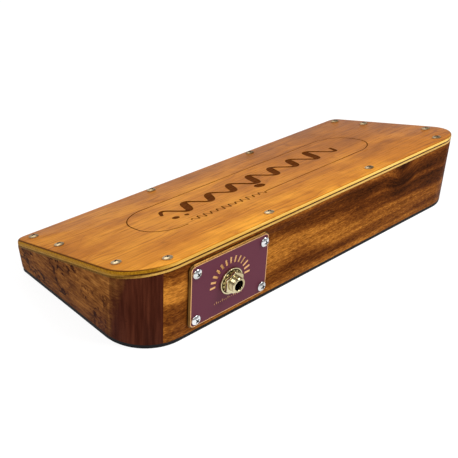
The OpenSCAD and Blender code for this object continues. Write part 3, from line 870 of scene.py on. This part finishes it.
def head_profile(r, h):
    """Domed head: a rounded foot, a short rim and a crown."""
    rim = 0.43 * h
    ball = (r * r + (h - rim) ** 2) / (2 * (h - rim))
    crown = []
    for k in range(9):
        radius = r * 0.97 * k / 8
        crown.append((radius, h - ball + math.sqrt(ball * ball - radius * radius)))
    lip = [(r * 0.99, rim), (r, rim * 0.82), (r, 0.10 * MM), (r - 0.1 * MM, 0.0)]
    return crown + lip


def shank_profile(r, length):
    """Ring thread and point, from under the head down."""
    core, pitch = r * 0.72, 1.2 * MM
    points = [(core, 0.0), (core, -0.8 * MM)]
    for i in range(int((length - r - MM) / pitch)):
        z = -0.8 * MM - i * pitch
        points += [(r * 0.99, z - 0.6 * MM), (core, z - 1.1 * MM)]
    return points + [(core, -length + r), (0.1 * MM, -length), (0.0, -length)]


def cross_tool(bm, r, h):
    """Tapered cross that cuts the head's recess."""
    floor = h * 0.32
    top = h * 1.4
    for turn in (0, 90):
        spin = Matrix.Rotation(math.radians(turn), 3, "Z")
        rings = []
        for z, half_l, half_w in ((top, 0.60, 0.17), (floor, 0.36, 0.10)):
            ring = [Vector((a * half_l * r, b * half_w * r, z)) for a, b in CORNERS]
            rings.append([spin @ p for p in ring])
        skin(bm, rings)


def screw_mesh(r, h, thread_r, length):
    """Domed cross-head screw, its head's foot at z = 0; r and h size the head. Slot 1: recess."""
    # Slot 1 holds painted shade inside the cross recess
    slots = ["screw_steel", "recess_shade"]
    bm = bmesh.new()
    turned(bm, head_profile(r, h) + shank_profile(thread_r, length), 40)
    screw = new_piece("screw_blank", bm, slots)
    bm = bmesh.new()
    cross_tool(bm, r, h)
    for face in bm.faces:
        face.material_index = 1
    tool = new_piece("screw_tool", bm, slots)
    cut = screw.modifiers.new("recess", "BOOLEAN")
    cut.object = tool
    cut.solver = "EXACT"
    cut.use_self = True
    settle(screw)
    bpy.data.objects.remove(tool)
    mesh = screw.data
    bpy.data.objects.remove(screw)
    return mesh


def screws(name, mesh, places, node, finish):
    """Copies of one screw, each turned by its own angle, as a single piece."""
    rng = random.Random(name)
    bm = bmesh.new()
    for place in places:
        first = len(bm.verts)
        bm.from_mesh(mesh)
        bm.verts.ensure_lookup_table()
        spin = Matrix.Rotation(rng.uniform(0, math.pi / 2), 4, "Z")
        bmesh.ops.transform(bm, matrix=place @ spin, verts=bm.verts[first:])
    # Slot 1: painted shade in the cross recesses
    piece = new_piece(name, bm, [finish, "recess_shade"], 32)
    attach(piece, CASE)
    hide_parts(node)


def make_top_screws():
    mesh = screw_mesh(r=3.0 * MM, h=1.4 * MM, thread_r=1.75 * MM, length=14 * MM)
    lean = Matrix.Rotation(-SLOPE, 4, "X")
    places = [Matrix.Translation((x, y, top_z(y))) @ lean for x, y in TOP_SCREWS]
    screws("top_screws_domed", mesh, places, "top_screws", "screw_zinc")


def make_plate_screws():
    head = 3.1 * MM
    mesh = screw_mesh(r=head, h=2.2 * MM, thread_r=1.4 * MM, length=12 * MM)
    lo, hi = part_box("plate_screws")
    face_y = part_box("jack_plate")[0].y
    out = Matrix.Rotation(math.radians(90), 4, "X")
    places = []
    for x in (lo.x + head, hi.x - head):
        for z in (lo.z + head, hi.z - head):
            places.append(Matrix.Translation((x, face_y, z)) @ out)
    screws("plate_screws_domed", mesh, places, "plate_screws", "screw_steel")


# ---------- CAD nodes that stay ----------

# Bevel width in millimetres for the CAD nodes whose edges catch the light
SOFT_EDGES = {
    "dark_ply": 0.12,
    "lower_ply": 0.15,
    "toe_side_board": 0.12,
    "heel_side_board": 0.12,
    "left_end_board": 0.12,
    "right_end_board": 0.12,
    "jack_nut": 0.18,
    "cupped_washer": 0.15,
    "jack_bushing": 0.1,
    "jack_plate": 0.12,
}


def soften(node, width):
    """Joins the node's split vertices and rounds its sharp edges."""
    weld = node.modifiers.new("weld", "WELD")
    weld.merge_threshold = 0.002 * MM
    bevel = node.modifiers.new("soft_edge", "BEVEL")
    bevel.width = width * MM
    bevel.segments = 2
    bevel.limit_method = "ANGLE"
    bevel.angle_limit = math.radians(28)
    bevel.harden_normals = True


def dress_frame():
    """Gives every CAD node its own slot's material, and soft edges where they show."""
    slots = {row["node"]: row["material_slot"] for row in frame["record"]["subparts"]}
    for name, node in frame["nodes"].items():
        node.data.materials.clear()
        node.data.materials.append(material(slots[name]))
        node.data.shade_smooth()
        node.data.set_sharp_from_angle(angle=math.radians(30))
        if name in SOFT_EDGES:
            soften(node, SOFT_EDGES[name])


# ---------- studio ----------


def make_floor():
    """White table lit from inside, so that almost no shadow falls on it."""
    bm = bmesh.new()
    reach = 6.0
    bm.faces.new([bm.verts.new((a * reach, b * reach, 0.0)) for a, b in CORNERS])
    g = Graph("floor_paint", Specular_IOR_Level=0.1, Roughness=0.8)
    g.shader.inputs["Emission Color"].default_value = (1, 1, 1, 1)
    g.shader.inputs["Emission Strength"].default_value = 0.86
    patch = g.noise(g.scaled((3, 3, 3)), 2.0, 0.5)
    g.colour(g.ramp(patch, (0.3, (0.19, 0.19, 0.19, 1)), (0.7, (0.21, 0.21, 0.21, 1))))
    new_piece("floor", bm, [g.material])


def softbox(name, place, aim, width, height, watts):
    data = bpy.data.lights.new(name, "AREA")
    data.shape = "RECTANGLE"
    data.size = width
    data.size_y = height
    data.energy = watts
    lamp = bpy.data.objects.new(name, data)
    scene.collection.objects.link(lamp)
    lamp.location = place
    lamp.rotation_mode = "QUATERNION"
    lamp.rotation_quaternion = (Vector(aim) - Vector(place)).to_track_quat("-Z", "Y")


def make_sky():
    """Pale walls and a dim ceiling for the light, and plain white behind the object."""
    world = bpy.data.worlds.new("studio")
    world.use_nodes = True
    nodes, link = world.node_tree.nodes, world.node_tree.links.new
    lit = nodes["Background"]
    split = nodes.new("ShaderNodeSeparateXYZ")
    link(nodes.new("ShaderNodeTexCoord").outputs["Generated"], split.inputs[0])
    fade = nodes.new("ShaderNodeValToRGB")
    link(split.outputs["Z"], fade.inputs[0])
    low, high = fade.color_ramp.elements
    low.position, low.color = 0.10, (0.40, 0.40, 0.40, 1)
    high.position, high.color = 0.40, (0.22, 0.22, 0.22, 1)
    link(fade.outputs[0], lit.inputs["Color"])
    lit.inputs["Strength"].default_value = 1.0
    seen = nodes.new("ShaderNodeBackground")
    seen.inputs["Color"].default_value = (1, 1, 1, 1)
    pick = nodes.new("ShaderNodeMixShader")
    link(nodes.new("ShaderNodeLightPath").outputs["Is Camera Ray"], pick.inputs[0])
    link(lit.outputs[0], pick.inputs[1])
    link(seen.outputs[0], pick.inputs[2])
    link(pick.outputs[0], nodes["World Output"].inputs["Surface"])
    scene.world = world


def make_lights():
    make_sky()
    softbox("key", (0.60, -0.66, 1.10), (0, 0, 0), 0.6, 0.6, 13)
    softbox("left", (-0.80, -0.55, 1.05), (0, 0, 0), 0.8, 0.8, 8)
    softbox("back", (0.10, 0.95, 0.95), (0, 0, 0), 0.9, 0.7, 5)
    scene.view_settings.view_transform = "Standard"


make_camera()
dress_frame()
make_face()
make_upper_ply()
make_mat()
make_top_screws()
make_plate_screws()
make_floor()
make_lights()
